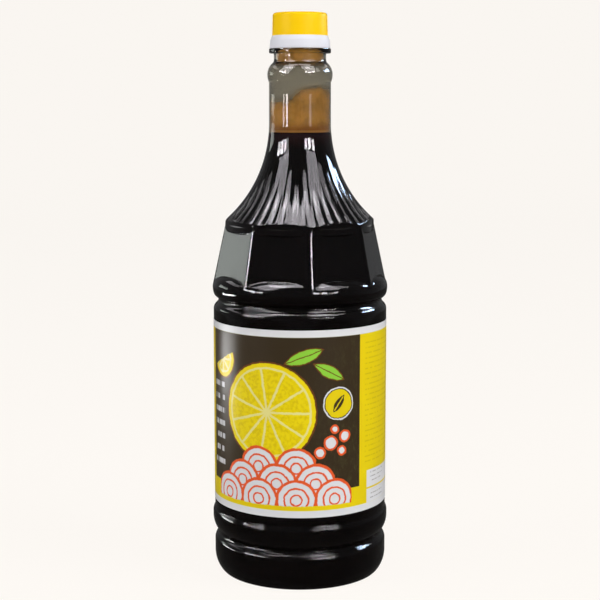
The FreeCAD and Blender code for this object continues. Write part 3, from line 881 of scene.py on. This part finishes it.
class SAUCE_OT_closure(bpy.types.Operator):
    """Builds the collar and the cap"""
    bl_idname = "sauce.closure"
    bl_label = "Collar and cap"

    def execute(self, context):
        look = context.scene.sauce_closure
        low, high = box_foot("collar"), box_top("collar")
        wide = box_radius("collar")
        cap_wide = box_radius("cap")
        bore = FINISH + 0.2 * MM
        shoulder = (wide - 0.45 * MM, low + 5.0 * MM)
        outline = [(bore, low), (wide, low), shoulder, (cap_wide, high), (bore, high)]
        for corner, size in (((wide, low), 0.4), (shoulder, 0.5)):
            outline = eased(outline, corner, size * MM)
        made = turned("collar_ring", outline, 160)
        sharpened(made, 40)
        made.data.materials.append(moulded("CollarWhite", look.collar, 0.38))
        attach(made, "root")
        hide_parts("collar")
        low, high = box_foot("cap"), box_top("cap")
        top = cap_wide - 0.3 * MM
        outline = [(cap_wide - 1.2 * MM, low), (cap_wide, low), (top, high), (0.0, high)]
        outline = eased(outline, (top, high), look.cap_edge, 8)
        outline = [(0.0, high - 1.5 * MM), (top - 1.2 * MM, high - 1.5 * MM)] + outline
        made = turned("screw_cap", outline, 160)
        sharpened(made, 40)
        made.data.materials.append(moulded("CapYellow", look.cap, 0.36))
        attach(made, "root")
        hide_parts("cap")
        return {"FINISHED"}


# ------------------------------------------------------------------ stage, lamps and camera

PLAIN = (1.0, 1.0, 1.0)
ROSE = (1.0, 0.95, 1.0)
BLUE = (0.55, 0.72, 1.0)
GREEN = (0.93, 1.0, 0.94)
# soft light for the colours: name, azimuth, elevation, distance, size, power
SOFT_LAMPS = (
    ("soft_left", -72, 32, 1.5, (0.9, 0.9), 10.0),
    ("soft_right", 66, 32, 1.5, (0.9, 0.9), 16.6),
    ("soft_front", -4, 22, 1.6, (1.0, 1.0), 10.8),
)
SOFT_AIM = 0.2
# lamps that only the gloss shows: name, azimuth, elevation, distance, size, radiance, aim, colour
GLOSS_LAMPS = (
    # panels that the trumpet's flutes and the facets' corners show
    ("panel_top", -8, 82, 3.0, (2.80, 1.40), 13.0, 0.25, ROSE),
    ("panel_left", -53, 44, 0.25, (0.146, 0.20), 11.0, 0.25, ROSE),
    ("panel_left_low", -47, 19, 0.25, (0.058, 0.05), 8.0, 0.25, ROSE),
    ("panel_right", 38, 43, 0.25, (0.154, 0.20), 11.0, 0.25, ROSE),
    ("panel_far_right", 66, 36, 0.25, (0.077, 0.092), 5.0, 0.25, ROSE),
    ("panel_far_left", -118, 31, 2.0, (1.30, 0.30), 2.2, 0.25, ROSE),
    ("panel_behind_right", 122, 31, 2.0, (1.30, 0.30), 1.9, 0.25, ROSE),
    ("window_right", 113, 21, 0.6, (0.27, 0.11), 48.0, 0.25, BLUE),
    ("wall_left", -120, 5, 1.6, (0.6, 0.24), 3.2, 0.25, GREEN),
    # rows of three far lamps that the bands show as dots
    ("bright_1", -78, 16, 4.0, (0.55, 0.55), 50.0, 0.25, ROSE),
    ("bright_2", -66, 16, 4.0, (0.60, 0.60), 75.0, 0.25, ROSE),
    ("bright_3", -54, 16, 4.0, (0.55, 0.55), 50.0, 0.25, ROSE),
    ("bright_4", 21, 16, 4.0, (0.60, 0.55), 50.0, 0.25, ROSE),
    ("bright_5", 34, 16, 4.0, (0.65, 0.60), 75.0, 0.25, ROSE),
    ("bright_6", 47, 16, 4.0, (0.60, 0.55), 50.0, 0.25, ROSE),
    ("glow_left", -46, 53, 0.24, (0.09, 0.05), 13.0, 0.25, ROSE),
    ("glow_right", 33, 52, 0.24, (0.08, 0.05), 13.0, 0.25, ROSE),
    # a sheen on the left of the label's top
    ("sheen_left", -105, 0, 0.5, (0.24, 0.04), 30.0, 0.050, PLAIN),
    # strips at the neck's own height
    ("neck_left", -49, 0, 1.5, (0.19, 0.115), 34.0, 0.278, PLAIN),
    ("neck_left_far", -63, 0, 1.5, (0.15, 0.115), 20.0, 0.278, PLAIN),
    ("neck_right", 38, 0, 1.5, (0.24, 0.115), 7.0, 0.278, PLAIN),
)


def lamp(name, azimuth, elevation, distance, size, power, glossy, side, aim):
    """An area lamp that looks at a height on the bottle's axis. Azimuth 0 is at the camera, positive to
    its right. Either the gloss shows it or it lights the colours."""
    data = bpy.data.lights.new(name, "AREA")
    data.shape = "ELLIPSE" if name.startswith("glow") else "RECTANGLE"
    data.size, data.size_y = size
    data.energy = power
    made = bpy.data.objects.new(name, data)
    bpy.context.scene.collection.objects.link(made)
    a = math.radians(azimuth) + side
    e = math.radians(elevation)
    way = Vector((math.sin(a) * math.cos(e), -math.cos(a) * math.cos(e), math.sin(e)))
    made.location = way * distance + Vector((0, 0, aim))
    made.rotation_euler = way.to_track_quat("Z", "Y").to_euler()
    made.visible_camera = False
    made.visible_glossy = glossy
    made.visible_diffuse = not glossy
    made.visible_transmission = False
    return made


def stage_material(tone, name):
    """Pale paper that shows its own colour to the camera, with the shadow on it."""
    p = Paint(name)
    p.set(Base_Color=(*(c * 0.55 for c in tone), 1.0), Roughness=0.9, Specular_IOR_Level=0.0)
    rays = p.node("ShaderNodeLightPath").outputs
    shown = p.most(rays["Is Camera Ray"], rays["Is Transmission Ray"])
    glossy = rays["Is Glossy Ray"]
    # the glow makes up for the light that falls short of white, and is faint in the gloss
    strength = p.add(p.times(shown, 1.09), p.times(glossy, 0.04))
    glow = p.node("ShaderNodeEmission", {"Color": (*tone, 1.0), "Strength": strength}).outputs[0]
    # what isn't glow shows the shadow
    share = p.times(p.most(shown, glossy), 0.9)
    mixed = p.node("ShaderNodeMixShader", {"Fac": share, 1: p.shader.outputs[0], 2: glow})
    p.put(p.out.inputs["Surface"], mixed.outputs[0])
    return p.material


class SAUCE_OT_studio(bpy.types.Operator):
    """Builds the stage, the lamps and the camera"""
    bl_idname = "sauce.studio"
    bl_label = "Stage, lamps and camera"

    def execute(self, context):
        scene = context.scene
        studio = scene.sauce_studio
        side = studio.side
        back = Vector((-math.sin(side), math.cos(side), 0.0))
        right = Vector((math.cos(side), math.sin(side), 0.0))
        bend, curve = 2.6, 0.4  # where the floor begins to rise, and the radius of its rise
        angles = (math.pi / 24 * i for i in range(1, 13))
        profile = [(-1.0, 0.0), (bend, 0.0)]
        profile += [(bend + curve * math.sin(a), curve - curve * math.cos(a)) for a in angles]
        profile += [(bend + curve, 1.2)]
        points = []
        for reach, height in profile:
            for across in (-1.0, 1.0):
                spot = back * reach + right * across
                points.append((spot.x, spot.y, height))
        faces = [(2 * i, 2 * i + 1, 2 * i + 3, 2 * i + 2) for i in range(len(profile) - 1)]
        sweep = mesh_object("stage_sweep", points, faces)
        sweep.data.materials.append(stage_material(studio.paper, "StagePaper"))

        world = bpy.data.worlds.new("Room")
        scene.world = world
        world.use_nodes = True
        ground = world.node_tree.nodes["Background"]
        ground.inputs["Color"].default_value = (0.97, 0.98, 1.0, 1.0)
        ground.inputs["Strength"].default_value = 0.18

        for *given, size, power in SOFT_LAMPS:
            lamp(*given, size, power, False, side, SOFT_AIM)
        for *given, size, radiance, aim, tone in GLOSS_LAMPS:
            power = radiance * math.pi * size[0] * size[1]
            lamp(*given, size, power, True, side, aim).data.color = tone

        data = bpy.data.cameras.new("View")
        camera = bpy.data.objects.new("View", data)
        scene.collection.objects.link(camera)
        away = studio.distance
        camera.location = (away * math.sin(side), -away * math.cos(side), studio.height)
        camera.rotation_euler = (math.pi / 2 - studio.tilt, 0.0, side)
        data.sensor_width = 36.0
        data.lens = studio.lens
        data.clip_start, data.clip_end = 0.01, 50.0
        scene.camera = camera
        scene.view_settings.view_transform = "Standard"
        return {"FINISHED"}


class SAUCE_PT_panel(bpy.types.Panel):
    """Lists the steps that build the bottle"""
    bl_label = "Sauce Bottle"
    bl_idname = "SAUCE_PT_panel"
    bl_space_type = "VIEW_3D"
    bl_region_type = "UI"
    bl_category = "Sauce Bottle"

    def draw(self, context):
        for group in GROUPS:
            box = self.layout.box()
            box.label(text=group[1].__doc__)
            held = getattr(context.scene, group[0])
            for name in group[1].__annotations__:
                box.prop(held, name)
        for step in STEPS:
            self.layout.operator(step.bl_idname)


GROUPS = (
    ("sauce_shape", BottleShape),
    ("sauce_contents", SauceLook),
    ("sauce_label", LabelPrint),
    ("sauce_closure", ClosureLook),
    ("sauce_studio", StudioSet),
)
STEPS = (SAUCE_OT_bottle, SAUCE_OT_sauce, SAUCE_OT_film, SAUCE_OT_label, SAUCE_OT_closure, SAUCE_OT_studio)


def register():
    for name, group in GROUPS:
        bpy.utils.register_class(group)
        setattr(bpy.types.Scene, name, bpy.props.PointerProperty(type=group))
    for step in STEPS:
        bpy.utils.register_class(step)
    bpy.utils.register_class(SAUCE_PT_panel)


def unregister():
    bpy.utils.unregister_class(SAUCE_PT_panel)
    for step in reversed(STEPS):
        bpy.utils.unregister_class(step)
    for name, group in reversed(GROUPS):
        delattr(bpy.types.Scene, name)
        bpy.utils.unregister_class(group)


def main():
    register()
    for step in STEPS:
        space, name = step.bl_idname.split(".")
        getattr(getattr(bpy.ops, space), name)()


if __name__ == "__main__":
    main()
